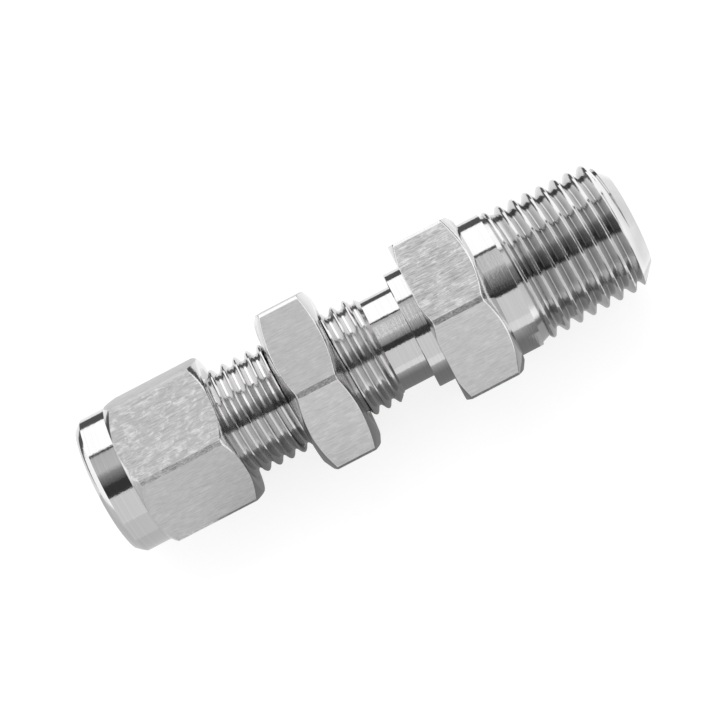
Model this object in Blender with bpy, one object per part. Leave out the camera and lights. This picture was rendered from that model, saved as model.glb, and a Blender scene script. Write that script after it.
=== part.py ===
"""Bulkhead connector: a two-ferrule tube fitting with a tapered male pipe thread.

The fitting lies along X. The tube goes in at the -X end, the pipe thread is at
the +X end, and the origin is the middle of the whole thing. Lengths are in
metres. Stations along the fitting are counted from the tube nut's nose face.
"""

import math

import bmesh
import bpy
from mathutils import Matrix

MM = 0.001
INCH = 25.4 * MM

# Tube and the clearances between pieces
TUBE_RADIUS = INCH / 8
TUBE_CLEARANCE = 0.07 * MM
RUNNING_CLEARANCE = 0.12 * MM
SEAT_GAP = 0.15 * MM
TUBE_STOP_STATION = 15.3 * MM
FLOW_BORE_RADIUS = 2.4 * MM

# Straight body thread, shared by the body, the tube nut and the bulkhead nut
BODY_THREAD_PITCH = INCH / 20
BODY_THREAD_RADIUS = 5.46 * MM
BODY_CREST_SHARE = 0.21
BODY_ROOT_SHARE = 0.21
BODY_THREAD_START = 7.6 * MM
BODY_THREAD_LENGTH = 21.45 * MM
BODY_THREAD_PHASE = 1.21 * MM
BODY_END_WALL = 0.9 * MM

# Relief and collar between the straight thread and the wrench hexagon
RELIEF_LENGTH = 3.05 * MM
RELIEF_UNDERCUT = 0.16 * MM
COLLAR_LENGTH = 1.62 * MM
COLLAR_LIP = 0.37 * MM

# Wrench hexagon of the body; the bulkhead nut takes the same wrench.
# A face share is the radius of a hexagon's flat face, counted in half widths across flats.
WRENCH_FLATS = 15.88 * MM
BODY_HEX_LENGTH = 6.47 * MM
BODY_HEX_PANEL_FACE_SHARE = 1.04
BODY_HEX_PANEL_ANGLE = math.radians(30)
BODY_HEX_PIPE_FACE_SHARE = 0.92
BODY_HEX_PIPE_ANGLE = math.radians(33)

# Neck and tapered pipe thread
NECK_LENGTH = 2.25 * MM
NECK_RADIUS = 6.81 * MM
PIPE_THREAD_PITCH = INCH / 18
PIPE_THREAD_LENGTH = 12.3 * MM
PIPE_THREAD_STEP = 0.09 * MM
PIPE_TAPER = 1 / 32
PIPE_CREST_SHARE = 0.19
PIPE_ROOT_SHARE = 0.155
PIPE_THREAD_PHASE = 0.81 * MM
PIPE_END_RADIUS = 4.9 * MM
PIPE_END_CHAMFER = 0.9 * MM
PIPE_BORE_CHAMFER = 0.35 * MM

# Tube nut
TUBE_NUT_LENGTH = 13.05 * MM
TUBE_NUT_FLATS = 13.84 * MM
TUBE_NUT_NOSE_LENGTH = 3.34 * MM
TUBE_NUT_NOSE_INSET = 0.03 * MM
TUBE_NUT_NOSE_ROUND = 0.75 * MM
TUBE_NUT_NOSE_ANGLE = math.radians(41)
TUBE_NUT_FACE_SHARE = 1.005
TUBE_NUT_FACE_ANGLE = math.radians(38)
TUBE_NUT_TURN = math.radians(5.2)
TUBE_NUT_SHOULDER_STATION = 3.4 * MM

# Bulkhead nut
BULKHEAD_NUT_STATION = 19.4 * MM
BULKHEAD_NUT_LENGTH = 5.7 * MM
BULKHEAD_NUT_FACE_SHARE = 0.913
BULKHEAD_NUT_TUBE_ANGLE = math.radians(28)
BULKHEAD_NUT_PANEL_ANGLE = math.radians(24)
BULKHEAD_NUT_TURN = math.radians(1.2)

# Ferrules
FERRULE_RADIUS = 4.2 * MM
FERRULE_EDGE = 0.12 * MM
FRONT_FERRULE_NOSE = 1.9 * MM
FRONT_FERRULE_RIM = 1.15 * MM
BACK_FERRULE_LENGTH = 2.1 * MM
BACK_FERRULE_NOSE = 0.85 * MM
BACK_FERRULE_NOSE_WALL = 0.3 * MM
MOUTH_CONE_ANGLE = math.radians(12)
MOUTH_DEPTH = 2.6 * MM

# Broken edges
CORNER_BREAK = 0.37 * MM
THREAD_CHAMFER = 0.85 * MM
NUT_BORE_CHAMFER = 0.45 * MM
THREAD_END_ANGLE = math.radians(45)

# Facets: steps in one turn of a thread and round a turned surface
THREAD_STEPS = 24
TURNED_STEPS = 48
BORE_STEPS = 32
OVERRUN = 1 * MM

# Stations that follow from the lengths above
BODY_THREAD_END = BODY_THREAD_START + BODY_THREAD_LENGTH
COLLAR_START = BODY_THREAD_END + RELIEF_LENGTH
HEX_START = COLLAR_START + COLLAR_LENGTH
HEX_END = HEX_START + BODY_HEX_LENGTH
NECK_END = HEX_END + NECK_LENGTH
PIPE_END = NECK_END + PIPE_THREAD_LENGTH
MIDDLE = PIPE_END / 2

FLANK_SLOPE = math.tan(math.radians(30))
SOCKET_RADIUS = TUBE_RADIUS + TUBE_CLEARANCE
STEEL = (0.63, 0.62, 0.61)


def thread_depth(pitch, crest_share, root_share):
    """Radial depth of a 60 degree thread with flat crests and roots."""
    return pitch * (1 - crest_share - root_share) / 2 / FLANK_SLOPE


BODY_THREAD_DEPTH = thread_depth(BODY_THREAD_PITCH, BODY_CREST_SHARE, BODY_ROOT_SHARE)
BODY_ROOT_RADIUS = BODY_THREAD_RADIUS - BODY_THREAD_DEPTH
RELIEF_RADIUS = BODY_ROOT_RADIUS - RELIEF_UNDERCUT
COLLAR_RADIUS = BODY_THREAD_RADIUS + COLLAR_LIP
PIPE_THREAD_DEPTH = thread_depth(PIPE_THREAD_PITCH, PIPE_CREST_SHARE, PIPE_ROOT_SHARE)
MOUTH_RADIUS = SOCKET_RADIUS + MOUTH_DEPTH * math.tan(MOUTH_CONE_ANGLE)


def clear_scene():
    for thing in list(bpy.data.objects):
        bpy.data.objects.remove(thing)


def steel(name, roughness):
    material = bpy.data.materials.new(name)
    material.use_nodes = True
    shader = material.node_tree.nodes["Principled BSDF"]
    shader.inputs["Base Color"].default_value = (*STEEL, 1)
    shader.inputs["Metallic"].default_value = 1.0
    shader.inputs["Roughness"].default_value = roughness
    return material


def object_from(name, bm):
    """Turn a closed bmesh, drawn in stations, into an object about the middle."""
    bmesh.ops.remove_doubles(bm, verts=bm.verts, dist=0.0005 * MM)
    bmesh.ops.translate(bm, verts=bm.verts, vec=(-MIDDLE, 0, 0))
    bmesh.ops.recalc_face_normals(bm, faces=bm.faces)
    if bm.calc_volume(signed=True) < 0:
        bmesh.ops.reverse_faces(bm, faces=bm.faces)
    mesh = bpy.data.meshes.new(name)
    bm.to_mesh(mesh)
    bm.free()
    mesh.shade_smooth()
    mesh.set_sharp_from_angle(angle=math.radians(35))
    thing = bpy.data.objects.new(name, mesh)
    bpy.context.scene.collection.objects.link(thing)
    return thing


def profile_wire(bm, outline, closed):
    verts = [bm.verts.new((station, 0, radius)) for station, radius in outline]
    pairs = list(zip(verts, verts[1:]))
    if closed:
        pairs.append((verts[-1], verts[0]))
    edges = [bm.edges.new(pair) for pair in pairs]
    return verts + edges


def turned(name, outline, closed=False, steps=TURNED_STEPS):
    """Spin an outline of (station, radius) points round the axis."""
    bm = bmesh.new()
    wire = profile_wire(bm, outline, closed)
    bmesh.ops.spin(bm, geom=wire, cent=(0, 0, 0), axis=(1, 0, 0), angle=2 * math.pi,
                   steps=steps, use_merge=True)
    return object_from(name, bm)


def hexagon(name, start, end, flats, turn):
    """A hexagonal bar with its six corners broken, corners towards +Y and -Y."""
    apothem = flats / 2
    half_side = apothem * math.tan(math.radians(30)) - CORNER_BREAK / 2 / math.cos(math.radians(30))
    spread = math.atan2(half_side, apothem)
    radius = math.hypot(half_side, apothem)
    bm = bmesh.new()
    ring = []
    for side in range(6):
        middle = turn + math.radians(30 + 60 * side)
        for angle in (middle - spread, middle + spread):
            ring.append(bm.verts.new((start, radius * math.cos(angle), radius * math.sin(angle))))
    face = bm.faces.new(ring)
    grown = bmesh.ops.extrude_face_region(bm, geom=[face])
    moved = [item for item in grown["geom"] if isinstance(item, bmesh.types.BMVert)]
    bmesh.ops.translate(bm, verts=moved, vec=(end - start, 0, 0))
    return object_from(name, bm)


def thread_rod(name, start, end, phase, pitch, root_share, crest_share, reshape):
    """A threaded rod: one pitch of the section, spun with an advance at each step.

    reshape(station, lift) gives the radius where lift is 0 in the root and 1 on the crest.
    """
    root = root_share * pitch
    crest = crest_share * pitch
    flank = (pitch - root - crest) / 2
    lead_in = math.ceil((start - phase) / pitch) - 2
    turns = math.ceil((end - start) / pitch) + 4
    first = phase + lead_in * pitch - crest / 2 - flank - root
    section = [(0, 1), (root, 1), (root + flank, 2), (root + flank + crest, 2), (pitch, 1)]
    bm = bmesh.new()
    wire = profile_wire(bm, [(first + along, lift) for along, lift in section], closed=False)
    bmesh.ops.spin(bm, geom=wire, cent=(0, 0, 0), axis=(1, 0, 0), angle=2 * math.pi * turns,
                   steps=THREAD_STEPS * turns, dvec=(pitch / THREAD_STEPS, 0, 0))
    bmesh.ops.remove_doubles(bm, verts=bm.verts, dist=0.001 * MM)
    for vert in bm.verts:
        station = vert.co.x
        reach = math.hypot(vert.co.y, vert.co.z)
        radius = reshape(station, reach - 1)
        vert.co.y *= radius / reach
        vert.co.z *= radius / reach
    for station, outward in ((start, -1), (end, 1)):
        bmesh.ops.bisect_plane(bm, geom=bm.verts[:] + bm.edges[:] + bm.faces[:],
                               plane_co=(station, 0, 0), plane_no=(outward, 0, 0),
                               clear_outer=True, dist=0.001 * MM)
    rims = [edge for edge in bm.edges if edge.is_boundary]
    bmesh.ops.holes_fill(bm, edges=rims, sides=0)
    return object_from(name, bm)


def as_tool(thing):
    thing.hide_render = True
    thing.display_type = "WIRE"
    return thing


def combine(target, tool, operation):
    modifier = target.modifiers.new(operation.title() + "_" + tool.name, "BOOLEAN")
    modifier.operation = operation
    modifier.object = as_tool(tool)
    modifier.solver = "EXACT"
    return target


def straight_radius(clearance):
    """Radius of the straight thread at a lift, with a clearance added all over."""
    def radius(station, lift):
        return BODY_ROOT_RADIUS + BODY_THREAD_DEPTH * lift + clearance
    return radius


def pipe_radius(station, lift):
    """Radius of the tapered thread, whose roots fade out in the last turn at the neck."""
    crest = NECK_RADIUS - PIPE_THREAD_STEP - (station - NECK_END) * PIPE_TAPER
    fade = min(1, max(0, (station - NECK_END) / PIPE_THREAD_PITCH))
    return crest - PIPE_THREAD_DEPTH * (1 - lift) * fade


def chamfer_length(reach, face_radius, angle):
    return (reach - face_radius) * math.tan(angle)


def corner_reach(flats):
    """A radius just beyond the sharp corners of a hexagon."""
    return flats / 2 / math.cos(math.radians(30)) + OVERRUN


def straight_thread():
    """The body's long thread, chamfered at both ends."""
    start = BODY_THREAD_START
    end = BODY_THREAD_END
    rod = thread_rod("straight_thread", start - OVERRUN, end + OVERRUN, BODY_THREAD_PHASE,
                     BODY_THREAD_PITCH, BODY_ROOT_SHARE, BODY_CREST_SHARE, straight_radius(0))
    mouth = MOUTH_RADIUS + BODY_END_WALL
    reach = BODY_THREAD_RADIUS + OVERRUN
    lead = (reach - mouth) * THREAD_CHAMFER / (BODY_THREAD_RADIUS - mouth)
    envelope = turned("straight_thread_blank", [
        (start, 0), (start, mouth), (start + lead, reach),
        (end - chamfer_length(reach, RELIEF_RADIUS, THREAD_END_ANGLE), reach),
        (end, RELIEF_RADIUS), (end, 0)])
    return combine(rod, envelope, "INTERSECT")


def pipe_thread():
    """The tapered thread, with the chamfer that leads it into a pipe socket."""
    rod = thread_rod("pipe_thread", NECK_END - OVERRUN, PIPE_END + OVERRUN,
                     NECK_END + PIPE_THREAD_PHASE, PIPE_THREAD_PITCH, PIPE_ROOT_SHARE,
                     PIPE_CREST_SHARE, pipe_radius)
    root = pipe_radius(PIPE_END, 0)
    slope = PIPE_END_CHAMFER / (root - PIPE_END_RADIUS)
    reach = NECK_RADIUS + OVERRUN
    envelope = turned("pipe_thread_blank", [
        (NECK_END - OVERRUN / 2, 0), (NECK_END - OVERRUN / 2, reach),
        (PIPE_END - (reach - PIPE_END_RADIUS) * slope, reach),
        (PIPE_END, PIPE_END_RADIUS), (PIPE_END, 0)])
    return combine(rod, envelope, "INTERSECT")


def body_hexagon():
    bar = hexagon("wrench_hexagon", HEX_START - OVERRUN, HEX_END + OVERRUN, WRENCH_FLATS, 0)
    reach = corner_reach(WRENCH_FLATS)
    panel_face = BODY_HEX_PANEL_FACE_SHARE * WRENCH_FLATS / 2
    pipe_face = BODY_HEX_PIPE_FACE_SHARE * WRENCH_FLATS / 2
    near = chamfer_length(reach, panel_face, BODY_HEX_PANEL_ANGLE)
    far = chamfer_length(reach, pipe_face, BODY_HEX_PIPE_ANGLE)
    envelope = turned("wrench_hexagon_blank", [
        (HEX_START, 0), (HEX_START, panel_face), (HEX_START + near, reach),
        (HEX_END - far, reach), (HEX_END, pipe_face), (HEX_END, 0)])
    return combine(bar, envelope, "INTERSECT")


def body_bore():
    """Cone for the front ferrule, tube socket with its stop, and the flow bore."""
    start = BODY_THREAD_START
    slope = math.tan(MOUTH_CONE_ANGLE)
    past = PIPE_END + OVERRUN
    return turned("body_bore", [
        (start - OVERRUN, 0), (start - OVERRUN, MOUTH_RADIUS + OVERRUN * slope),
        (start + MOUTH_DEPTH, SOCKET_RADIUS), (TUBE_STOP_STATION, SOCKET_RADIUS),
        (TUBE_STOP_STATION, FLOW_BORE_RADIUS),
        (PIPE_END - PIPE_BORE_CHAMFER, FLOW_BORE_RADIUS),
        (past, FLOW_BORE_RADIUS + PIPE_BORE_CHAMFER + OVERRUN), (past, 0)], steps=BORE_STEPS)


def fitting_body(material):
    """The one-piece body: threads, relief, collar, wrench hexagon, neck and bore."""
    overlap = RELIEF_LENGTH / 3 + OVERRUN
    half_hex = (HEX_START + HEX_END) / 2
    body = turned("fitting_body", [
        (BODY_THREAD_END - overlap, 0), (BODY_THREAD_END - overlap, RELIEF_RADIUS),
        (COLLAR_START, RELIEF_RADIUS), (COLLAR_START, COLLAR_RADIUS),
        (half_hex, COLLAR_RADIUS), (half_hex, NECK_RADIUS),
        (NECK_END, NECK_RADIUS), (NECK_END, 0)])
    combine(body, straight_thread(), "UNION")
    combine(body, body_hexagon(), "UNION")
    combine(body, pipe_thread(), "UNION")
    combine(body, body_bore(), "DIFFERENCE")
    body.data.materials.append(material)
    return body


def nose_arc(radius, fillet, steps=5):
    """Points of the rounded edge at the tube nut's nose, from its face to its side."""
    points = []
    for step in range(steps + 1):
        angle = math.pi / 2 * step / steps
        points.append((fillet * (1 - math.cos(angle)), radius - fillet * (1 - math.sin(angle))))
    return points


def tube_nut(material):
    """Round nose, hexagon, shoulder that drives the ferrules, and the inside thread."""
    apothem = TUBE_NUT_FLATS / 2
    nose = apothem - TUBE_NUT_NOSE_INSET
    reach = corner_reach(TUBE_NUT_FLATS)
    face = TUBE_NUT_FACE_SHARE * apothem
    first = chamfer_length(reach, nose, TUBE_NUT_NOSE_ANGLE)
    last = chamfer_length(reach, face, TUBE_NUT_FACE_ANGLE)
    nut = hexagon("tube_nut", -OVERRUN, TUBE_NUT_LENGTH + OVERRUN, TUBE_NUT_FLATS,
                  TUBE_NUT_TURN)
    outline = [(0, 0)] + nose_arc(nose, TUBE_NUT_NOSE_ROUND)
    outline += [(TUBE_NUT_NOSE_LENGTH, nose), (TUBE_NUT_NOSE_LENGTH + first, reach),
                (TUBE_NUT_LENGTH - last, reach), (TUBE_NUT_LENGTH, face),
                (TUBE_NUT_LENGTH, 0)]
    combine(nut, turned("tube_nut_blank", outline), "INTERSECT")
    seat = TUBE_NUT_SHOULDER_STATION
    pocket = FERRULE_RADIUS + SEAT_GAP
    cavity = pocket - SOCKET_RADIUS
    mouth = BODY_THREAD_RADIUS + RUNNING_CLEARANCE + NUT_BORE_CHAMFER
    minor = BODY_ROOT_RADIUS + RUNNING_CLEARANCE
    past = TUBE_NUT_LENGTH + OVERRUN
    combine(nut, turned("tube_nut_bore", [
        (-OVERRUN, 0), (-OVERRUN, SOCKET_RADIUS), (seat, SOCKET_RADIUS),
        (seat + cavity, pocket), (BODY_THREAD_START - OVERRUN, pocket),
        (BODY_THREAD_START - OVERRUN, minor),
        (TUBE_NUT_LENGTH - mouth + minor, minor), (past, mouth + OVERRUN), (past, 0)],
        steps=BORE_STEPS), "DIFFERENCE")
    combine(nut, thread_rod("tube_nut_tap", BODY_THREAD_START - OVERRUN / 2, past,
                            BODY_THREAD_PHASE, BODY_THREAD_PITCH, BODY_ROOT_SHARE,
                            BODY_CREST_SHARE, straight_radius(RUNNING_CLEARANCE)), "DIFFERENCE")
    nut.data.materials.append(material)
    return nut


def bulkhead_nut(material):
    """The thin nut that clamps a panel against the wrench hexagon."""
    start = BULKHEAD_NUT_STATION
    end = start + BULKHEAD_NUT_LENGTH
    reach = corner_reach(WRENCH_FLATS)
    face = BULKHEAD_NUT_FACE_SHARE * WRENCH_FLATS / 2
    first = chamfer_length(reach, face, BULKHEAD_NUT_TUBE_ANGLE)
    last = chamfer_length(reach, face, BULKHEAD_NUT_PANEL_ANGLE)
    nut = hexagon("bulkhead_nut", start - OVERRUN, end + OVERRUN, WRENCH_FLATS,
                  BULKHEAD_NUT_TURN)
    combine(nut, turned("bulkhead_nut_blank", [
        (start, 0), (start, face), (start + first, reach),
        (end - last, reach), (end, face), (end, 0)]), "INTERSECT")
    bore = BODY_THREAD_RADIUS + RUNNING_CLEARANCE
    mouth = bore + NUT_BORE_CHAMFER + OVERRUN
    combine(nut, turned("bulkhead_nut_bore", [
        (start - OVERRUN, 0), (start - OVERRUN, mouth), (start + NUT_BORE_CHAMFER, bore),
        (end - NUT_BORE_CHAMFER, bore), (end + OVERRUN, mouth), (end + OVERRUN, 0)]),
        "DIFFERENCE")
    nut.data.materials.append(material)
    return nut


def front_ferrule(material):
    """Tapered ring whose nose sits in the body's cone."""
    slope = math.tan(MOUTH_CONE_ANGLE)
    face = BODY_THREAD_START - SEAT_GAP
    rim = face - FRONT_FERRULE_RIM
    tip = BODY_THREAD_START + FRONT_FERRULE_NOSE
    shoulder_radius = MOUTH_RADIUS - SEAT_GAP / 2 + (BODY_THREAD_START - face) * slope
    tip_radius = MOUTH_RADIUS - SEAT_GAP / 2 - FRONT_FERRULE_NOSE * slope
    ring = turned("front_ferrule", [
        (tip, SOCKET_RADIUS), (rim + BACK_FERRULE_NOSE, SOCKET_RADIUS),
        (rim, SOCKET_RADIUS + BACK_FERRULE_NOSE), (rim, FERRULE_RADIUS - FERRULE_EDGE),
        (rim + FERRULE_EDGE, FERRULE_RADIUS), (face - FERRULE_EDGE, FERRULE_RADIUS),
        (face, FERRULE_RADIUS - FERRULE_EDGE), (face, shoulder_radius), (tip, tip_radius)],
        closed=True, steps=BORE_STEPS)
    ring.data.materials.append(material)
    return ring


def back_ferrule(material):
    """Small ring with a nose under the front ferrule and a back cone on the nut's shoulder."""
    rim = BODY_THREAD_START - SEAT_GAP - FRONT_FERRULE_RIM
    face = rim - SEAT_GAP
    tail = face - BACK_FERRULE_LENGTH + BACK_FERRULE_NOSE
    tip = rim + BACK_FERRULE_NOSE - BACK_FERRULE_NOSE_WALL - SEAT_GAP
    nose = SOCKET_RADIUS + BACK_FERRULE_NOSE_WALL
    nose_root = SOCKET_RADIUS + BACK_FERRULE_NOSE - SEAT_GAP
    outer = FERRULE_RADIUS - FERRULE_EDGE
    back = outer - (outer - SOCKET_RADIUS) / 2
    ring = turned("back_ferrule", [
        (tail, SOCKET_RADIUS), (tail, back), (tail + outer - back, outer),
        (face, outer), (face, nose_root), (tip, nose), (tip, SOCKET_RADIUS)],
        closed=True, steps=BORE_STEPS)
    ring.data.materials.append(material)
    return ring


def joint_origin(thing, station):
    """Put an object's origin on the axis at a station, leaving its shape in place."""
    place = station - MIDDLE
    thing.data.transform(Matrix.Translation((-place, 0, 0)))
    thing.location.x = place


def build():
    clear_scene()
    fitting_body(steel("body_steel", 0.28))
    nut = tube_nut(steel("tube_nut_steel", 0.32))
    locknut = bulkhead_nut(steel("bulkhead_nut_steel", 0.35))
    front = front_ferrule(steel("front_ferrule_steel", 0.22))
    back = back_ferrule(steel("back_ferrule_steel", 0.22))
    carrier = bpy.data.objects.new("ferrule_travel", None)
    bpy.context.scene.collection.objects.link(carrier)
    for thing in (nut, front, back):
        thing.parent = carrier
    joint_origin(locknut, BULKHEAD_NUT_STATION)


build()
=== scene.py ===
# %% [markdown]
# # A bulkhead connector in steel
# The real thing is a tube fitting that goes through a panel. From left to right it has a tube
# nut, a long threaded body with a panel nut on it, a plain shank with a collar, a large
# hexagon, a neck and a tapered pipe thread. All of it is turned and milled from steel bar.
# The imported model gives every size. This lesson models the three big pieces again over it,
# with smooth threads, broken edges and real steel finishes.

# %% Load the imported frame
import math
import bpy
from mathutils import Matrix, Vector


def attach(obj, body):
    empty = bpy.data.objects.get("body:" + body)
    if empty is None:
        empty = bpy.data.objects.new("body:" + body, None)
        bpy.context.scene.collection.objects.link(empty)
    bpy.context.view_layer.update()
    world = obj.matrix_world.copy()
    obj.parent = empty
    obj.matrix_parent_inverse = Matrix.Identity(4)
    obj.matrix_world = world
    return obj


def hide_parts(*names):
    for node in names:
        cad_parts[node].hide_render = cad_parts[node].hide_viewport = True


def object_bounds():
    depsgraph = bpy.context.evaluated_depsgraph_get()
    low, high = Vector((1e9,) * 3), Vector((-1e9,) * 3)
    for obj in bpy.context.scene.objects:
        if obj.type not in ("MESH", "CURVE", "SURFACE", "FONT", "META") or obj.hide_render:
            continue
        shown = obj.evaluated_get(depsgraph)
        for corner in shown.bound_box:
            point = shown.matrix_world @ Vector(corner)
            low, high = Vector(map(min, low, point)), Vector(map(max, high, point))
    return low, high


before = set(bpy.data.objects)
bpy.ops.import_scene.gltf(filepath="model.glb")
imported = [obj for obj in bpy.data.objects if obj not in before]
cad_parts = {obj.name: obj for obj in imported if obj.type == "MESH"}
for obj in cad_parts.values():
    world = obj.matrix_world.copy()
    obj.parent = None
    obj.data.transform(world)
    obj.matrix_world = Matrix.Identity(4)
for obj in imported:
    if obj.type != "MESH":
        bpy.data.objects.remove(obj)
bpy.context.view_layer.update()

# %% [markdown]
# ## Sizes
# The frame's origin is the middle of the fitting. A turner counts from one end instead, so all
# stations here are lengths from the nose face of the tube nut, and `place` moves a station
# into the frame. Values are in metres, and are written with MM or INCH to be easy to read.

# %% Stations along the fitting
MM = 0.001
INCH = 25.4 * MM

BODY_THREAD_START = 7.6 * MM
BODY_THREAD_END = 29.05 * MM
COLLAR_START = 32.1 * MM
HEX_START = 33.72 * MM
HEX_END = 40.19 * MM
NECK_END = 42.44 * MM
PIPE_END = 54.74 * MM
MIDDLE = PIPE_END / 2


def place(station):
    """Where a station lies along X in the frame."""
    return station - MIDDLE


print("length in mm:", round(PIPE_END / MM, 2))

# %% [markdown]
# ## Turned shapes
# A lathe cuts all that is round on the real fitting. A profile could be spun to the same shape,
# but an extrusion from ring to ring reads like the drawing: each (station, radius) point of the
# outline is one step of it. A filled circle is extruded along the axis to the next station, and
# scaled there to the radius that the outline asks for.

# %% Small helpers for selecting and welding
SAME_POINT = 0.0002 * MM
WELD = 0.001 * MM


def deselect():
    bpy.ops.object.select_all(action="DESELECT")


def activate(piece):
    """Select one piece alone, so that an operator changes nothing else."""
    deselect()
    bpy.context.view_layer.objects.active = piece
    piece.select_set(True)


def edit_all():
    """Go to edit mode with the whole active piece selected."""
    bpy.ops.object.mode_set(mode="EDIT")
    bpy.ops.mesh.select_all(action="SELECT")


def tidy_up(piece):
    """Weld doubles, face outwards, and go back to object mode."""
    bpy.ops.mesh.select_all(action="SELECT")
    bpy.ops.mesh.remove_doubles(threshold=SAME_POINT)
    bpy.ops.mesh.normals_make_consistent(inside=False)
    bpy.ops.object.mode_set(mode="OBJECT")
    return piece


# %% A bar pulled along its outline
FINE_STEPS = 96
BORE_STEPS = 64
OVERRUN = 1 * MM


def turned(name, outline, steps=FINE_STEPS):
    """A solid turned bar through (station, radius) points."""
    (station, radius), *rest = outline
    deselect()
    bpy.ops.mesh.primitive_circle_add(
        vertices=steps, radius=radius, fill_type="NGON",
        location=(place(station), 0, 0), rotation=(0, math.pi / 2, 0))
    piece = bpy.context.object
    piece.name = name
    bpy.ops.object.transform_apply(location=True, rotation=True, scale=True)
    edit_all()
    for next_station, next_radius in rest:
        bpy.ops.mesh.extrude_region_move(
            TRANSFORM_OT_translate={"value": (next_station - station, 0, 0)})
        scale = next_radius / radius
        bpy.ops.transform.resize(value=(1, scale, scale),
                                 center_override=(place(next_station), 0, 0))
        station, radius = next_station, next_radius
    return tidy_up(piece)


print("a fine ring has", FINE_STEPS, "sides, and a bore", BORE_STEPS)

# %% [markdown]
# ## Hexagons
# The hexagons are drawn bar, and drawing leaves the six long corners a little blunt, so each
# corner shows as a narrow band. A cylinder of six sides gives the bar. A bevel of one step on
# its long edges gives each band a flat face of its own, which can then have its own finish.

# %% A length of hexagon bar
CORNER_BREAK = 0.52 * MM
HALF_SIDE_ANGLE = math.radians(30)


def corner_radius(flats):
    """Distance from the axis to a corner of a hexagon of this width across flats."""
    return flats / 2 / math.cos(HALF_SIDE_ANGLE)


def hexagon_bar(name, start, end, flats, turn):
    """Hexagon bar along X with broken corners; turn is its angle from lying on a flat."""
    deselect()
    bpy.ops.mesh.primitive_cylinder_add(
        vertices=6, radius=corner_radius(flats), depth=end - start,
        location=(place((start + end) / 2), 0, 0), rotation=(0, math.pi / 2, 0))
    piece = bpy.context.object
    piece.name = name
    bpy.ops.object.transform_apply(location=True, rotation=True, scale=True)
    corner = piece.data.vertices[0].co
    piece.rotation_euler.x = turn - math.atan2(corner.z, corner.y) % (2 * HALF_SIDE_ANGLE)
    bpy.ops.object.transform_apply(location=False, rotation=True, scale=False)
    edit_all()
    bpy.ops.mesh.select_all(action="DESELECT")
    bpy.ops.mesh.select_mode(type="EDGE")
    bpy.ops.object.mode_set(mode="OBJECT")
    mesh = piece.data
    for edge in mesh.edges:
        a, b = (mesh.vertices[index].co for index in edge.vertices)
        edge.select = abs(a.x - b.x) > (end - start) / 2
    bpy.ops.object.mode_set(mode="EDIT")
    inset = CORNER_BREAK / 2 / math.cos(HALF_SIDE_ANGLE)
    bpy.ops.mesh.bevel(offset=inset, segments=1, affect="EDGES")
    bpy.ops.mesh.select_mode(type="VERT")
    return tidy_up(piece)


print("each corner is broken by", CORNER_BREAK / MM, "mm")

# %% [markdown]
# ## Threads
# A screw thread is one small section carried round and along. A bump in the material would draw
# it from the front, but the outline would stay straight, so here it is real geometry. The
# section of one pitch is a chain of points, and a Screw modifier winds it: each turn moves it
# on by one pitch. Crests and roots are short flats with eased shoulders, as a die leaves them.


# %% The section of one pitch
def thread_section(pitch, crest_radius, root_radius, crest_flat, root_flat, blend):
    """(along, radius) points of one pitch, root first; blend is the length of a shoulder.

    Half of a shoulder lies on its flat, and the other half runs along the flank.
    """
    flank = (pitch - crest_flat - root_flat) / 2
    cut = blend / flank
    half = blend / 2
    run = flank * cut / 2
    rise = (crest_radius - root_radius) * cut / 2
    crest_start = root_flat + flank
    crest_end = crest_start + crest_flat
    return [(0, root_radius),
            (root_flat - half, root_radius),
            (root_flat + run, root_radius + rise),
            (root_flat + flank * (1 - cut / 2), crest_radius - rise),
            (crest_start + half, crest_radius),
            (crest_end - half, crest_radius),
            (crest_end + run, crest_radius - rise),
            (pitch - run, root_radius + rise),
            (pitch, root_radius)]


# %% Wind the section into a threaded bar
SPARE_TURNS = 2
ON_PLANE = 0.0001 * MM


def thread_bar(name, start, end, crest_station, pitch, section, crest_middle, steps=FINE_STEPS):
    """A threaded bar cut square at both ends, with a crest over the top at crest_station.

    crest_middle is how far along its section the middle of the crest lies.
    """
    before = math.ceil((crest_station - start) / pitch) + SPARE_TURNS
    first = crest_station - before * pitch - crest_middle
    deselect()
    bpy.ops.mesh.primitive_plane_add(size=pitch, location=(place(first), 0, section[0][1]))
    piece = bpy.context.object
    piece.name = name
    bpy.ops.object.transform_apply(location=True, rotation=True, scale=True)
    edit_all()
    bpy.ops.mesh.merge(type="CENTER")
    for (along, radius), (next_along, next_radius) in zip(section, section[1:]):
        bpy.ops.mesh.extrude_region_move(TRANSFORM_OT_translate={
            "value": (next_along - along, 0, next_radius - radius)})
    bpy.ops.object.mode_set(mode="OBJECT")
    screw = piece.modifiers.new("winding", "SCREW")
    screw.axis = "X"
    screw.angle = 2 * math.pi
    screw.screw_offset = pitch
    screw.iterations = math.ceil((end - start) / pitch) + 2 * SPARE_TURNS
    screw.steps = screw.render_steps = steps
    screw.use_merge_vertices = True
    screw.merge_threshold = WELD
    bpy.ops.object.modifier_apply(modifier="winding")
    edit_all()
    bpy.ops.mesh.remove_doubles(threshold=WELD)
    for station, outward in ((start, -1), (end, 1)):
        bpy.ops.mesh.select_all(action="SELECT")
        bpy.ops.mesh.bisect(plane_co=(place(station), 0, 0), plane_no=(outward, 0, 0),
                            use_fill=True, clear_outer=True, threshold=ON_PLANE)
    return tidy_up(piece)


# %% [markdown]
# ## Cutting and joining
# A chamfer on a hexagon or a thread is a cone that the lathe cut through it, which is what
# gives a nut its curved chamfer lines. The same is done here: the bar is intersected with the
# turned envelope, and then joined or bored with Booleans, which are applied one by one.


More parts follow.
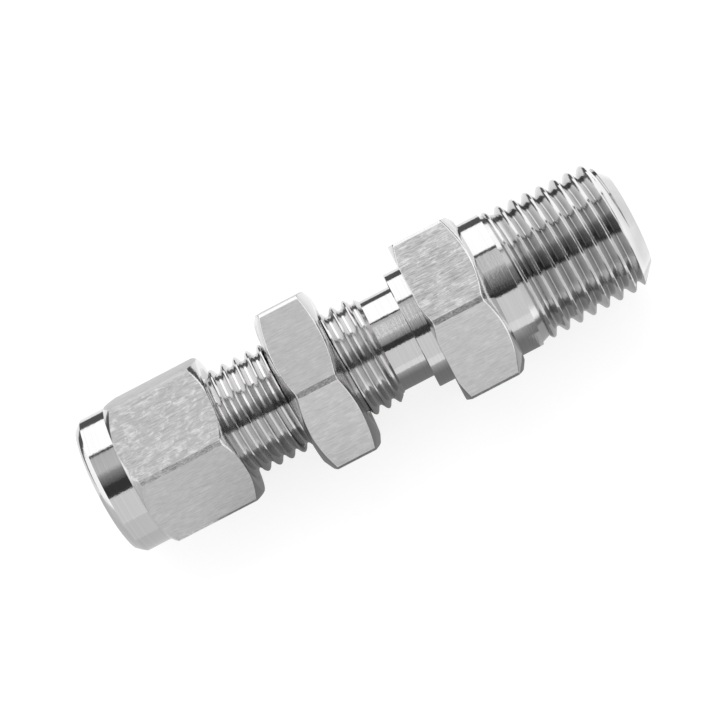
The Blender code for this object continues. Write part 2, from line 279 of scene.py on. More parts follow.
# %% Boolean steps and broken edges
def combine(target, tool, operation):
    """Cut or join the target with the tool, which is then removed."""
    modifier = target.modifiers.new("cut", "BOOLEAN")
    modifier.operation = operation
    modifier.object = tool
    modifier.solver = "EXACT"
    activate(target)
    bpy.ops.object.modifier_apply(modifier="cut")
    bpy.data.objects.remove(tool)
    print(target.name, operation.lower(), len(target.data.polygons), "faces")


EDGE_ANGLE = math.radians(35)


def break_edges(piece, width):
    """A thin round on every edge sharper than the angle, which catches the light."""
    bevel = piece.modifiers.new("broken_edges", "BEVEL")
    bevel.width = width
    bevel.segments = 2
    bevel.limit_method = "ANGLE"
    bevel.angle_limit = EDGE_ANGLE
    bevel.use_clamp_overlap = True
    activate(piece)
    bpy.ops.object.modifier_apply(modifier="broken_edges")


def cone_run(reach, radius, degrees):
    """Length along the axis of a chamfer from a reach down to a face radius."""
    return (reach - radius) * math.tan(math.radians(degrees))


# %% [markdown]
# ## The body
# The body is one piece of steel, so it is one mesh. The straight thread, the hexagon and the
# pipe thread are made as bars, given their chamfers, and joined to the turned middle. The bore
# is taken out last, because it runs through all of them.

# %% The straight thread with its chamfered start
BODY_THREAD_PITCH = INCH / 20
BODY_THREAD_RADIUS = 5.46 * MM
BODY_ROOT_RADIUS = 4.82 * MM
BODY_THREAD_FLAT = 0.21 * BODY_THREAD_PITCH
BODY_CREST_MIDDLE = 0.605 * BODY_THREAD_PITCH
BODY_THREAD_PHASE = 1.21 * MM
THREAD_BLEND = 0.14 * MM
THREAD_CHAMFER_IN_MM = 0.85
RELIEF_RADIUS = 4.66 * MM
SOCKET_RADIUS = 3.245 * MM
MOUTH_DEPTH = 2.6 * MM
MOUTH_SLOPE = math.tan(math.radians(12))
MOUTH_RADIUS = SOCKET_RADIUS + MOUTH_DEPTH * MOUTH_SLOPE
MOUTH_WALL = 0.9 * MM

body_section = thread_section(BODY_THREAD_PITCH, BODY_THREAD_RADIUS, BODY_ROOT_RADIUS,
                              BODY_THREAD_FLAT, BODY_THREAD_FLAT, THREAD_BLEND)
straight_thread = thread_bar("straight_thread", BODY_THREAD_START - OVERRUN,
                             BODY_THREAD_END + OVERRUN, BODY_THREAD_PHASE,
                             BODY_THREAD_PITCH, body_section, BODY_CREST_MIDDLE)
start_radius = MOUTH_RADIUS + MOUTH_WALL
start_drop = BODY_THREAD_RADIUS - start_radius
thread_reach = BODY_THREAD_RADIUS + OVERRUN
start_run = (thread_reach - start_radius) * THREAD_CHAMFER_IN_MM * MM / start_drop
combine(straight_thread, turned("straight_envelope", [
    (BODY_THREAD_START, start_radius), (BODY_THREAD_START + start_run, thread_reach),
    (BODY_THREAD_END - cone_run(thread_reach, RELIEF_RADIUS, 45), thread_reach),
    (BODY_THREAD_END, RELIEF_RADIUS)]), "INTERSECT")

# %% [markdown]
# A wrench holds the fitting by its large hexagon, whose left face presses on the panel. The
# lathe chamfered both faces, each a little differently, so each has its own radius and angle.
# The edges could stay sharp, but then they would never catch the light as real ones do, so
# Bevel breaks them a little.

# %% The wrench hexagon with a chamfer on both faces
WRENCH_FLATS = 15.88 * MM
WRENCH_REACH = corner_radius(WRENCH_FLATS) + OVERRUN
PANEL_FACE_RADIUS = 8.25 * MM
PANEL_CHAMFER_DEGREES = 30
PIPE_FACE_RADIUS = 7.3 * MM
PIPE_CHAMFER_DEGREES = 33
BROKEN_EDGE = 0.05 * MM

wrench_hexagon = hexagon_bar("wrench_hexagon", HEX_START - OVERRUN, HEX_END + OVERRUN,
                             WRENCH_FLATS, 0)
panel_side = cone_run(WRENCH_REACH, PANEL_FACE_RADIUS, PANEL_CHAMFER_DEGREES)
pipe_side = cone_run(WRENCH_REACH, PIPE_FACE_RADIUS, PIPE_CHAMFER_DEGREES)
combine(wrench_hexagon, turned("hexagon_envelope", [
    (HEX_START, PANEL_FACE_RADIUS), (HEX_START + panel_side, WRENCH_REACH),
    (HEX_END - pipe_side, WRENCH_REACH), (HEX_END, PIPE_FACE_RADIUS)]), "INTERSECT")
break_edges(wrench_hexagon, BROKEN_EDGE)

# %% [markdown]
# The pipe thread seals by being cut on a cone, where each diameter shrinks by a sixteenth of
# the length. The Screw modifier winds only straight threads, so a straight bar is wound first,
# and a Simple Deform taper squeezes it. The taper grows from the frame's middle, so the bar
# starts with the radius that the cone has there. Its grooves start deeper too, by what the
# squeeze takes off halfway along the thread.

# %% The tapered pipe thread
PIPE_THREAD_PITCH = INCH / 18
PIPE_THREAD_PHASE = 0.81 * MM
PIPE_THREAD_STEP = 0.09 * MM
PIPE_THREAD_DEPTH = 0.8 * MM
PIPE_CREST_FLAT = 0.23 * PIPE_THREAD_PITCH
PIPE_ROOT_FLAT = 0.12 * PIPE_THREAD_PITCH
PIPE_CREST_MIDDLE = 0.56 * PIPE_THREAD_PITCH
PIPE_TAPER = 1 / 32
PIPE_SQUEEZE = 0.91
NECK_RADIUS = 6.81 * MM

crest_at_middle = NECK_RADIUS - PIPE_THREAD_STEP + (NECK_END - MIDDLE) * PIPE_TAPER
pipe_section = thread_section(PIPE_THREAD_PITCH, crest_at_middle,
                              crest_at_middle - PIPE_THREAD_DEPTH / PIPE_SQUEEZE,
                              PIPE_CREST_FLAT, PIPE_ROOT_FLAT, THREAD_BLEND)
pipe_thread = thread_bar("pipe_thread", NECK_END - OVERRUN, PIPE_END + OVERRUN,
                         NECK_END + PIPE_THREAD_PHASE, PIPE_THREAD_PITCH, pipe_section,
                         PIPE_CREST_MIDDLE)
taper = pipe_thread.modifiers.new("taper", "SIMPLE_DEFORM")
taper.deform_method = "TAPER"
taper.deform_axis = "X"
taper.factor = -PIPE_TAPER / crest_at_middle * (PIPE_END - NECK_END + 2 * OVERRUN)
activate(pipe_thread)
bpy.ops.object.modifier_apply(modifier="taper")
widest = max(math.hypot(vertex.co.y, vertex.co.z) for vertex in pipe_thread.data.vertices)
print("pipe thread is", round(2 * widest / MM, 2), "mm over its first crest")

# %% [markdown]
# The end of the thread is chamfered, so that it starts easily in its socket. A turned envelope
# cuts the chamfer through the crests, as it did on the straight thread.

# %% The chamfered end of the pipe thread
PIPE_END_RADIUS = 4.65 * MM
PIPE_END_SLOPE = 0.9

pipe_reach = NECK_RADIUS + OVERRUN
end_run = (pipe_reach - PIPE_END_RADIUS) * PIPE_END_SLOPE
combine(pipe_thread, turned("pipe_envelope", [
    (NECK_END - OVERRUN / 2, pipe_reach), (PIPE_END - end_run, pipe_reach),
    (PIPE_END, PIPE_END_RADIUS)]), "INTERSECT")

# %% [markdown]
# Where the die stopped, at the neck, the groove runs out: it gets shallower until the neck is
# whole again. A cone inside the first turns fills the groove and does just that, and it is part
# of the turned middle, which also has the relief shank, the collar and the neck.

# %% The turned middle of the body, and the join
COLLAR_RADIUS = 5.83 * MM
COLLAR_EDGE = 0.08 * MM
RUN_OUT = 2.0 * MM
NECK_LIP_LENGTH = 0.03 * MM
NECK_LIP_DEPTH = 0.2 * MM
CORE_INSET = 0.3 * MM

half_hex = (HEX_START + HEX_END) / 2
run_out_root = NECK_RADIUS - PIPE_THREAD_STEP - RUN_OUT * PIPE_TAPER - PIPE_THREAD_DEPTH
body = turned("connector_body", [
    (BODY_THREAD_END - 2 * OVERRUN, RELIEF_RADIUS), (COLLAR_START, RELIEF_RADIUS),
    (COLLAR_START, COLLAR_RADIUS - COLLAR_EDGE), (COLLAR_START + COLLAR_EDGE, COLLAR_RADIUS),
    (half_hex, COLLAR_RADIUS), (half_hex, NECK_RADIUS), (NECK_END, NECK_RADIUS),
    (NECK_END + NECK_LIP_LENGTH, NECK_RADIUS - NECK_LIP_DEPTH),
    (NECK_END + RUN_OUT, run_out_root),
    (NECK_END + RUN_OUT + OVERRUN, run_out_root - CORE_INSET)])
for part in (straight_thread, wrench_hexagon, pipe_thread):
    combine(body, part, "UNION")

# %% [markdown]
# Inside, a cone takes the front ferrule, a socket takes the tube up to its stop, and a narrower
# bore leads on to the pipe end. The photograph shows none of it, so these sizes are guesses.
# One turned core with all the steps is subtracted, which is simpler than hole after hole.

# %% The bore: ferrule cone, tube socket with its stop, flow bore
TUBE_STOP_STATION = 15.3 * MM
FLOW_BORE_RADIUS = 2.4 * MM
PIPE_BORE_CHAMFER = 0.35 * MM

combine(body, turned("body_bore", [
    (BODY_THREAD_START - OVERRUN, MOUTH_RADIUS + OVERRUN * MOUTH_SLOPE),
    (BODY_THREAD_START + MOUTH_DEPTH, SOCKET_RADIUS), (TUBE_STOP_STATION, SOCKET_RADIUS),
    (TUBE_STOP_STATION, FLOW_BORE_RADIUS), (PIPE_END - PIPE_BORE_CHAMFER, FLOW_BORE_RADIUS),
    (PIPE_END + OVERRUN, FLOW_BORE_RADIUS + PIPE_BORE_CHAMFER + OVERRUN)],
    steps=BORE_STEPS), "DIFFERENCE")

# %% [markdown]
# ## The tube nut
# The tube nut has a round nose, a hexagon with a steep chamfer towards it, and a thread inside.
# It is turned from bar a size smaller than the body's. One envelope gives it the nose and both
# chamfers in a single cut. Its edges are broken as well, but only about 0.005 mm of the width
# asked for was measured. Bevel holds back where edges lie close, which is probably why.

# %% Outside of the tube nut
TUBE_NUT_FLATS = 13.84 * MM
TUBE_NUT_LENGTH = 13.05 * MM
TUBE_NUT_TURN = math.radians(5.2)
TUBE_NUT_EDGE = 0.04 * MM
TUBE_NUT_FACE_RADIUS = 6.95 * MM
TUBE_NUT_FACE_DEGREES = 38
NOSE_LENGTH = 3.34 * MM
NOSE_RADIUS = TUBE_NUT_FLATS / 2 - 0.03 * MM
NOSE_DEGREES = 41
NOSE_END_CUTS = ((0.0, 0.95), (0.1, 0.62), (0.42, 0.33), (0.85, 0.0))

tube_nut = hexagon_bar("compression_nut", -OVERRUN, TUBE_NUT_LENGTH + OVERRUN, TUBE_NUT_FLATS,
                       TUBE_NUT_TURN)
nut_reach = corner_radius(TUBE_NUT_FLATS) + OVERRUN
face_side = cone_run(nut_reach, TUBE_NUT_FACE_RADIUS, TUBE_NUT_FACE_DEGREES)
nose_outline = [(station * MM, NOSE_RADIUS - depth * MM) for station, depth in NOSE_END_CUTS]
combine(tube_nut, turned("tube_nut_envelope", nose_outline + [
    (NOSE_LENGTH, NOSE_RADIUS),
    (NOSE_LENGTH + cone_run(nut_reach, NOSE_RADIUS, NOSE_DEGREES), nut_reach),
    (TUBE_NUT_LENGTH - face_side, nut_reach),
    (TUBE_NUT_LENGTH, TUBE_NUT_FACE_RADIUS)]), "INTERSECT")
break_edges(tube_nut, TUBE_NUT_EDGE)

# %% [markdown]
# The tube goes in through the hole in the nose. Behind it come a shoulder and a pocket for the
# ferrules, and then the thread. The thread is the body's own section, wider by a running
# clearance. Any start would give a thread, but only one wound from the same crest fits the
# body's.

# %% Bore of the tube nut, with a pocket for the ferrules
RUNNING_CLEARANCE = 0.12 * MM
NUT_BORE_CHAMFER = 0.45 * MM
TUBE_HOLE_EDGE = 0.15 * MM
SHOULDER_STATION = 3.4 * MM
POCKET_RADIUS = 4.35 * MM

tap_radius = BODY_THREAD_RADIUS + RUNNING_CLEARANCE
tap_root = BODY_ROOT_RADIUS + RUNNING_CLEARANCE
mouth_radius = tap_radius + NUT_BORE_CHAMFER
combine(tube_nut, turned("tube_nut_bore", [
    (-OVERRUN, SOCKET_RADIUS + OVERRUN), (TUBE_HOLE_EDGE, SOCKET_RADIUS),
    (SHOULDER_STATION, SOCKET_RADIUS),
    (SHOULDER_STATION + POCKET_RADIUS - SOCKET_RADIUS, POCKET_RADIUS),
    (BODY_THREAD_START - OVERRUN, POCKET_RADIUS), (BODY_THREAD_START - OVERRUN, tap_root),
    (TUBE_NUT_LENGTH - mouth_radius + tap_root, tap_root),
    (TUBE_NUT_LENGTH + OVERRUN, mouth_radius + OVERRUN)], steps=BORE_STEPS), "DIFFERENCE")

# %% Inside thread of the tube nut, in step with the body's
tap_section = thread_section(BODY_THREAD_PITCH, tap_radius, tap_root, BODY_THREAD_FLAT,
                             BODY_THREAD_FLAT, THREAD_BLEND)
combine(tube_nut, thread_bar("tube_nut_tap", BODY_THREAD_START - OVERRUN / 2,
                             TUBE_NUT_LENGTH + OVERRUN, BODY_THREAD_PHASE, BODY_THREAD_PITCH,
                             tap_section, BODY_CREST_MIDDLE, steps=BORE_STEPS), "DIFFERENCE")

# %% [markdown]
# ## The panel nut
# A plain hexagon nut, chamfered on both faces, that clamps the panel against the body's
# hexagon. Here it slides along without turning, so its thread is cut outwards from a bore that
# clears the body thread: the grooves show at its mouth and never scrape.

# %% Outside of the panel nut
PANEL_NUT_START = 19.4 * MM
PANEL_NUT_END = PANEL_NUT_START + 5.7 * MM
PANEL_NUT_FACE_RADIUS = 7.25 * MM
PANEL_NUT_TURN = math.radians(1.2)
TUBE_SIDE_DEGREES = 28
PANEL_SIDE_DEGREES = 24

panel_nut = hexagon_bar("panel_nut", PANEL_NUT_START - OVERRUN, PANEL_NUT_END + OVERRUN,
                        WRENCH_FLATS, PANEL_NUT_TURN)
tube_side = cone_run(WRENCH_REACH, PANEL_NUT_FACE_RADIUS, TUBE_SIDE_DEGREES)
panel_side = cone_run(WRENCH_REACH, PANEL_NUT_FACE_RADIUS, PANEL_SIDE_DEGREES)
combine(panel_nut, turned("panel_nut_envelope", [
    (PANEL_NUT_START, PANEL_NUT_FACE_RADIUS), (PANEL_NUT_START + tube_side, WRENCH_REACH),
    (PANEL_NUT_END - panel_side, WRENCH_REACH),
    (PANEL_NUT_END, PANEL_NUT_FACE_RADIUS)]), "INTERSECT")
break_edges(panel_nut, BROKEN_EDGE)

# %% [markdown]
# The bore is wider than the body thread by the running clearance, and the grooves are cut
# outwards from it. The cutting bar starts a little inside the bore, because a Boolean needs an
# overlap: two faces at the very same radius would give it nothing to decide by.

# %% Bore and inside thread of the panel nut
GROOVE_DEPTH = 0.3 * MM
GROOVE_FLAT = 0.16 * BODY_THREAD_PITCH
GROOVE_GAP = 0.3 * BODY_THREAD_PITCH
GROOVE_CREST_MIDDLE = 0.65 * BODY_THREAD_PITCH
GROOVE_BLEND = 0.06 * MM
GROOVE_OVERLAP = 0.06 * MM

combine(panel_nut, turned("panel_nut_bore", [
    (PANEL_NUT_START - OVERRUN, mouth_radius + OVERRUN),
    (PANEL_NUT_START + NUT_BORE_CHAMFER, tap_radius),
    (PANEL_NUT_END - NUT_BORE_CHAMFER, tap_radius),
    (PANEL_NUT_END + OVERRUN, mouth_radius + OVERRUN)], steps=BORE_STEPS), "DIFFERENCE")
groove_section = thread_section(BODY_THREAD_PITCH, tap_radius + GROOVE_DEPTH,
                                tap_radius - GROOVE_OVERLAP, GROOVE_FLAT, GROOVE_GAP,
                                GROOVE_BLEND)
combine(panel_nut, thread_bar("panel_nut_tap", PANEL_NUT_START - OVERRUN,
                              PANEL_NUT_END + OVERRUN, BODY_THREAD_PHASE, BODY_THREAD_PITCH,
                              groove_section, GROOVE_CREST_MIDDLE, steps=BORE_STEPS),
        "DIFFERENCE")

# %% [markdown]
# Booleans leave points that lie almost on each other. They don't show, but they make slivers,
# so each piece is welded once more, and what opens by it is closed.

# %% Weld the three pieces
LARGEST_HOLE = 6

for piece in (body, tube_nut, panel_nut):
    activate(piece)
    edit_all()
    bpy.ops.mesh.remove_doubles(threshold=WELD)
    bpy.ops.mesh.dissolve_degenerate(threshold=WELD)
    bpy.ops.mesh.select_all(action="SELECT")
    bpy.ops.mesh.fill_holes(sides=LARGEST_HOLE)
    bpy.ops.object.mode_set(mode="OBJECT")
    print(piece.name, "welded to", len(piece.data.vertices), "points")

# %% [markdown]
# ## Steel finishes
# Three finishes show. Turned faces are bright, with fine lines round the axis that the tool left.
# Threads are the same steel, a little worn and uneven, with painted light in the roots of the
# straight thread and painted shade in those of the pipe thread. The hexagon flats are as the bar
# was drawn: matte, with streaks along it, and some of the upper flats also have pale scuffs. The
# top flats of the body and the panel nut, and the far corners of the tube nut, get a darker tone
# as painted shade.
# Painted images could give all this, but noise on Object coordinates needs no file, has no
# seams and keeps its scale. All is bare steel, so the colour varies little, and the roughness
# and a fine bump vary with it.

# %% Helpers for node materials
STEEL = (0.62, 0.615, 0.618)


def new_finish(name, roughness):
    """A bare steel material; the other helpers add nodes to its tree."""
    material = bpy.data.materials.new(name)
    material.use_nodes = True
    shader = material.node_tree.nodes["Principled BSDF"]
    shader.inputs["Base Color"].default_value = (*STEEL, 1)
    shader.inputs["Metallic"].default_value = 1.0
    shader.inputs["Roughness"].default_value = roughness
    return material


def node(tree, kind, **inputs):
    """A new node with some of its inputs set, where an underscore stands for a space."""
    made = tree.nodes.new("ShaderNode" + kind)
    for name, value in inputs.items():
        made.inputs[name.replace("_", " ")].default_value = value
    return made


def math_node(tree, operation, *values):
    """A sum or the like of numbers and of other nodes' outputs."""
    made = node(tree, "Math")
    made.operation = operation
    for socket, value in zip(made.inputs, values):
        if isinstance(value, float):
            socket.default_value = value
        else:
            tree.links.new(value, socket)
    return made.outputs["Value"]


def noise(tree, vector, **settings):
    made = node(tree, "TexNoise", **settings)
    tree.links.new(vector, made.inputs["Vector"])
    return made.outputs["Fac"]


def remap(tree, source, low, high, from_low=0.3, from_high=0.7):
    """Spread a noise value, which keeps to the middle, over the range low to high."""
    spread = node(tree, "MapRange", From_Min=from_low, From_Max=from_high, To_Min=low,
                  To_Max=high)
    tree.links.new(source, spread.inputs["Value"])
    return spread.outputs["Result"]


# %% [markdown]
# A noise shows only through what it drives. Here it drives the colour, the roughness and a fine
# bump. Each of them has a helper of its own, so that a finish below reads as a short list.

# %% What each finish does with its noises
def tint(tree, factor, darkest, lightest):
    """Base colour between a darker and a lighter steel."""
    shade = node(tree, "Mix")
    shade.data_type = "RGBA"
    shade.inputs["A"].default_value = tuple(value * darkest for value in STEEL) + (1,)
    shade.inputs["B"].default_value = tuple(value * lightest for value in STEEL) + (1,)
    tree.links.new(factor, shade.inputs["Factor"])
    tree.links.new(shade.outputs["Result"],
                   tree.nodes["Principled BSDF"].inputs["Base Color"])


def vary_roughness(tree, factor, roughness, spread):
    """Spread holds what the roughness is multiplied by at the noise's low and high ends."""
    low, high = (roughness * share for share in spread)
    tree.links.new(remap(tree, factor, low, high),
                   tree.nodes["Principled BSDF"].inputs["Roughness"])


def relief(tree, height, strength, distance):
    """A fine bump from the sum of two heights."""
    bump = node(tree, "Bump", Strength=strength, Distance=distance)
    tree.links.new(math_node(tree, "ADD", *height), bump.inputs["Height"])
    tree.links.new(bump.outputs["Normal"], tree.nodes["Principled BSDF"].inputs["Normal"])


# %% [markdown]
# The lines of a lathe depend only on the station and the distance from the axis. A noise over
# those two values is constant round the axis, so it draws rings.

# %% Turned steel, with lines round the axis
TOOL_LINES = {"Scale": 6500.0, "Detail": 4.0, "Roughness": 0.7}
WORN_CLOUDS = {"Scale": 420.0, "Detail": 2.0}
GRAIN = {"Scale": 4500.0, "Detail": 3.0}
GRAIN_WEIGHT = 0.7
TURNED_SPREAD = (0.75, 1.3)
LINE_SHADES = (0.93, 1.05)
LINE_DEPTH = 0.01 * MM


def lathe_place(tree, where):
    """The station, the distance from the axis, and both as one vector."""
    split = node(tree, "SeparateXYZ")
    tree.links.new(where, split.inputs["Vector"])
    across = node(tree, "CombineXYZ")
    tree.links.new(split.outputs["Y"], across.inputs["X"])
    tree.links.new(split.outputs["Z"], across.inputs["Y"])
    distance = node(tree, "VectorMath")
    distance.operation = "LENGTH"
    tree.links.new(across.outputs["Vector"], distance.inputs[0])
    rings = node(tree, "CombineXYZ")
    tree.links.new(split.outputs["X"], rings.inputs["X"])
    tree.links.new(distance.outputs["Value"], rings.inputs["Y"])
    return split.outputs["X"], distance.outputs["Value"], rings.outputs["Vector"]


def lathe_finish(name, roughness, line_bump):
    """Steel with tool lines, and the parts that its tint can be made from."""
    material = new_finish(name, roughness)
    tree = material.node_tree
    where = node(tree, "TexCoord").outputs["Object"]
    station, distance, rings = lathe_place(tree, where)
    lines = noise(tree, rings, **TOOL_LINES)
    clouds = noise(tree, where, **WORN_CLOUDS)
    grain = math_node(tree, "MULTIPLY", noise(tree, where, **GRAIN), GRAIN_WEIGHT)
    vary_roughness(tree, clouds, roughness, TURNED_SPREAD)
    relief(tree, (lines, grain), line_bump, LINE_DEPTH)
    return material, {"station": station, "distance": distance, "lines": lines, "clouds": clouds}


bright, parts = lathe_finish("bright_turned_steel", 0.085, 0.55)
tint(bright.node_tree, remap(bright.node_tree, parts["lines"], 0.0, 1.0), *LINE_SHADES)
print("made", bright.name)

# %% [markdown]
# In a thread the distance from the axis also tells how deep a point lies. Light bounces more than
# once between the flanks, and the roots get a tone of their own for it: painted light, lighter
# than the crests, on the straight thread, and painted shade, darker than the crests, on the pipe
# thread, which brought both nearer to the photograph. Soft clouds over it make the grooves
# uneven, as wear does.

# %% Threads, shaded from crest to root
WORN_SHARE = 0.4
SHADE_FROM = 0.2
SHADE_TO = 0.9


def thread_steel(name, roughness, line_bump, crest_radius, taper, depth, root_shade, crest_shade):
    """crest_radius is at the frame's middle, and taper is how much it loses per length."""
    material, parts = lathe_finish(name, roughness, line_bump)
    tree = material.node_tree
    crest_here = math_node(tree, "MULTIPLY_ADD", parts["station"], -taper, crest_radius)
    below = math_node(tree, "SUBTRACT", crest_here, parts["distance"])
    lit = remap(tree, below, 1.0, 0.0, SHADE_FROM * depth, SHADE_TO * depth)
    groove = math_node(tree, "MULTIPLY", lit, 1 - WORN_SHARE)
    worn = math_node(tree, "MULTIPLY", remap(tree, parts["clouds"], 0.0, 1.0), WORN_SHARE)
    # The colour goes from root_shade in the roots to crest_shade on the crests: painted light in
    # the roots where root_shade is the larger, and painted shade where it is the smaller.
    tint(tree, math_node(tree, "ADD", groove, worn), root_shade, crest_shade)
    return material


straight_cut = thread_steel("straight_thread_steel", 0.13, 0.5, BODY_THREAD_RADIUS, 0.0,
                            BODY_THREAD_RADIUS - BODY_ROOT_RADIUS, 1.1, 0.9)
pipe_cut = thread_steel("pipe_thread_steel", 0.12, 0.5, crest_at_middle, PIPE_TAPER,
                        PIPE_THREAD_DEPTH, 0.68, 0.97)
print("made", straight_cut.name, "and", pipe_cut.name)

# %% [markdown]
# Drawing pulls the bar through a die, so its marks are drawn out along it: one noise is
# squeezed along X until it gives streaks. A coarser noise, twisted in itself, gives the scuffs
# of handling, and only its highest values count, so that they stay apart.

# %% Drawn flats, matte with streaks along the bar and paler scuffs
STREAKS = {"Scale": 13000.0, "Detail": 3.0, "Roughness": 0.7, "Distortion": 0.0}
SCUFFS = {"Scale": 1700.0, "Detail": 6.0, "Roughness": 0.7}
SCUFF_SQUEEZE = 0.6
SCUFF_LOW = 0.48
SCUFF_HIGH = 0.66
DRAWN_SPREAD = (1.15, 0.9)
STREAK_DEPTH = 0.02 * MM


def squeezed_noise(tree, where, along, **settings):
    """A noise that is stretched out along the bar where along is under 1."""
    stretch = node(tree, "Mapping", Scale=(along, 1, 1))
    tree.links.new(where, stretch.inputs["Vector"])
    return noise(tree, stretch.outputs["Vector"], **settings)


def drawn_steel(name, roughness, bump, tone, streak, scuff, curl=0.4, squeeze=0.07):
    """streak and scuff are how far those marks go from the tone; curl twists the scuffs."""
    material = new_finish(name, roughness)
    tree = material.node_tree
    where = node(tree, "TexCoord").outputs["Object"]
    streaks = squeezed_noise(tree, where, squeeze, **STREAKS)
    clouds = squeezed_noise(tree, where, SCUFF_SQUEEZE, Distortion=curl, **SCUFFS)
    vary_roughness(tree, clouds, roughness, DRAWN_SPREAD)
    share = 2 * streak / (2 * streak + scuff)
    lined = math_node(tree, "MULTIPLY", remap(tree, streaks, 0.0, 1.0), share)
    scuffed = math_node(tree, "MULTIPLY",
                        remap(tree, clouds, 0.0, 1.0, SCUFF_LOW, SCUFF_HIGH), 1 - share)
    tint(tree, math_node(tree, "ADD", lined, scuffed), tone - streak, tone + streak + scuff)
    relief(tree, (streaks, clouds), bump, STREAK_DEPTH)
    return material


drawn = drawn_steel("drawn_bar_flats", 0.4, 0.6, 0.92, 0.15, 0.07)
satin = drawn_steel("satin_nut_flats", 0.38, 0.4, 0.95, 0.15, 0.1)
# The next finish is the satin one with a darker tone, for the panel nut's top flat: painted
# shade.
shaded_satin_top = drawn_steel("satin_nut_top_flat_painted_shade", 0.38, 0.4, 0.78, 0.13, 0.07)
corners = drawn_steel("drawn_bar_corners", 0.3, 0.9, 0.95, 0.6, 0.4, squeeze=0.3)
# The next finish is a darker copy of the corners, for the tube nut's far corners: painted shade.
shaded_far_corners = drawn_steel("far_bar_corners_painted_shade", 0.38, 0.6, 0.66, 0.1, 0.1)
# The next finish, for the body's top flat, has real pale scuffs and a darker tone than the other
# flats: painted shade.
shaded_scuffed_body = drawn_steel("scuffed_body_flat_painted_shade", 0.4, 0.8, 0.73, 0.34, 0.3)
scuffed_nut = drawn_steel("scuffed_nut_flat", 0.4, 0.6, 0.85, 0.24, 0.4, curl=1.1)
print("made", len(bpy.data.materials), "finishes with those of the frame")

# %% [markdown]
# ## Which face gets which finish
# Every piece is one mesh with several finishes, so the faces are sorted by their place. A face
# of the bar stands square to the axis, at the flats' distance or, on a broken corner, beyond
# it. All other faces were turned. The bar's edges are marked sharp, because a flat that is
# shaded smooth with its chamfer looks like a cushion.

# %% Sort the faces
ON_SURFACE = 0.01 * MM
SQUARE_TO_AXIS = 0.02
FACING_UP = 0.9
FACING_BACK = 0.3
FLAT, TOP_FLAT, CORNER, FAR_CORNER, FIRST_CUT = 1, 2, 3, 4, 5


def bar_slot(face, flats):
    """The slot of a face of the hexagon bar, or None for a turned face."""
    out = face.center.y * face.normal.y + face.center.z * face.normal.z
    if abs(face.normal.x) >= SQUARE_TO_AXIS or out <= flats / 2 - ON_SURFACE:
        return None
    if out < flats / 2 + ON_SURFACE:
        return TOP_FLAT if face.normal.z > FACING_UP else FLAT
    return CORNER if face.normal.y < FACING_BACK else FAR_CORNER


def mark_sharp(piece, faces):
    """Keep all edges of these faces sharp, and shade the rest smooth by angle."""
    mesh = piece.data
    rims = {key for face in mesh.polygons if face.index in faces for key in face.edge_keys}
    for item in list(mesh.polygons) + list(mesh.vertices):
        item.select = False
    for edge in mesh.edges:
        edge.select = edge.key in rims
    activate(piece)
    bpy.ops.object.mode_set(mode="EDIT")
    bpy.ops.mesh.select_mode(type="EDGE")
    bpy.ops.mesh.mark_sharp()
    bpy.ops.mesh.select_mode(type="VERT")
    bpy.ops.object.mode_set(mode="OBJECT")
    bpy.ops.object.shade_smooth_by_angle(angle=EDGE_ANGLE, keep_sharp_edges=True)


# %% [markdown]
# Each piece now gets its list of finishes, and each face the number of one of them. Painting
# the faces by hand would have to be done again after every change of size. The threads are
# found by their stations and their distance from the axis instead.

# %% Give flats, corners and cuts their finishes
def dress(piece, flats, band, flat_finish, top_finish, far_corner=bright, cuts=()):
    """band is the hexagon's start and end, and a cut is a finish with a start and an end."""
    finishes = [bright, flat_finish, top_finish, corners, far_corner]
    piece.data.materials.clear()
    for material in finishes + [cut[0] for cut in cuts]:
        piece.data.materials.append(material)
    on_bar = set()
    for face in piece.data.polygons:
        centre = face.center
        slot = bar_slot(face, flats) if band[0] < centre.x < band[1] else None
        if slot is not None:
            on_bar.add(face.index)
            face.material_index = slot
        for index, (material, start, end) in enumerate(cuts):
            if start < centre.x < end and math.hypot(centre.y, centre.z) > RELIEF_RADIUS:
                face.material_index = FIRST_CUT + index
    mark_sharp(piece, on_bar)
    print(piece.name, "faces on the bar:", len(on_bar), "of", len(piece.data.polygons))


# The top flats of the body and the panel nut, and the far corners of the tube nut, get darker
# finishes here: painted shade.
dress(body, WRENCH_FLATS, (place(HEX_START), place(HEX_END)), drawn, shaded_scuffed_body, cuts=(
    (straight_cut, place(BODY_THREAD_START), place(BODY_THREAD_END)),
    (pipe_cut, place(NECK_END), place(PIPE_END) - ON_SURFACE)))
dress(tube_nut, TUBE_NUT_FLATS, (place(NOSE_LENGTH), place(TUBE_NUT_LENGTH)), drawn,
      scuffed_nut, far_corner=shaded_far_corners)
dress(panel_nut, WRENCH_FLATS, (place(PANEL_NUT_START), place(PANEL_NUT_END)), satin, shaded_satin_top)

# %% [markdown]
# ## Onto the frame
# Each new piece rides on the body that it stands for, so it moves as the imported model does,
# and hides the plain solid that it replaces. The ferrules inside keep their own solids, which
# are right as they are, and get the bright turned finish.

# %% Ride and replace
for piece, body_name, slot in ((body, "fitting_body", "fitting_body"),
                               (tube_nut, "tube_nut", "tube_nut"),
                               (panel_nut, "bulkhead_nut", "bulkhead_nut")):
    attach(piece, body_name)
    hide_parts(body_name)
    print(piece.name, "rides on", body_name)
for ring in ("front_ferrule", "back_ferrule"):
    for slot in bpy.data.objects[ring].material_slots:
        slot.material = bright

# %% [markdown]
# ## The table and the world
# The fitting lies on a white table in a white room. A table lit until it is white would burn
# out the steel, so the table is grey to the light and is lifted to white only for rays that
# look at it. The same is done with the world, which lights a little less than it shows.


